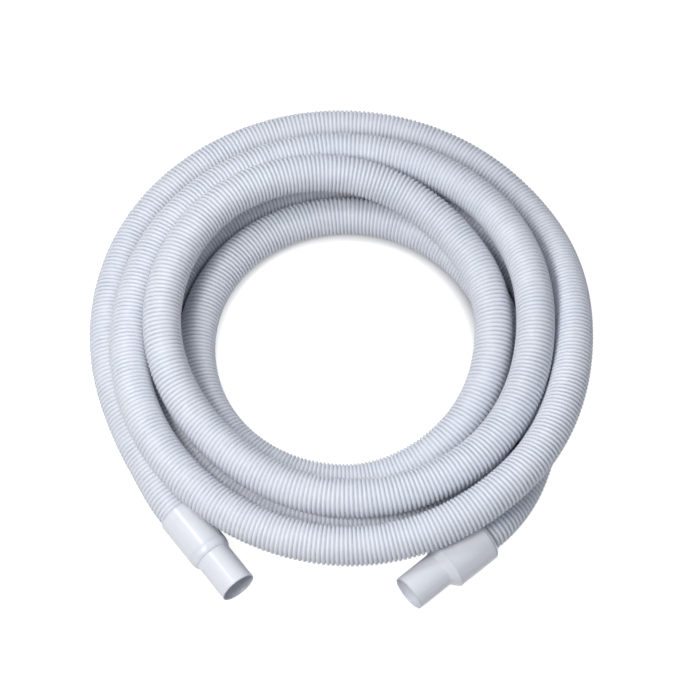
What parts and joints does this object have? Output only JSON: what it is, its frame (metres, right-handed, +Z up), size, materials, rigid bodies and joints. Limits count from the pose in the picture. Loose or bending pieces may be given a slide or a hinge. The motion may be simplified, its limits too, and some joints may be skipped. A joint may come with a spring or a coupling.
{
  "type": "vacuum hose",
  "caption": "Coiled ribbed suction hose for a pool vacuum, with a screwed cuff at one end and a free-turning swivel cuff at the other.",
  "frame": {"origin": "on the floor, under the middle of the coiled hose's box", "axes": "+Z up; -Y towards the side where both cuffs point out of the coil; +X to the right seen from that side"},
  "size_m": [0.58, 0.6449, 0.1181],
  "materials": {
    "hose": "satin, ribbed",
    "fixed_cuff": "soft gloss",
    "swivel_cuff": "soft gloss",
    "swivel_collar": "satin",
    "swivel_retaining_ring": "satin",
    "swivel_seal": "matt"
  },
  "bodies": {
    "hose_and_fixed_cuff": {"hose": "hose", "fixed_cuff": "fixed_cuff", "swivel_collar": "swivel_collar", "swivel_seal": "swivel_seal"},
    "turning_cuff": {"swivel_cuff": "swivel_cuff", "swivel_retaining_ring": "swivel_retaining_ring"}
  },
  "joints": [
    {"name": "cuff_swivel", "type": "hinge", "parent": "hose_and_fixed_cuff", "child": "turning_cuff", "pos_m": [0.15715, -0.23882, 0.0295], "axis": [-0.766, -0.6428, 0], "continuous": true}
  ]
}
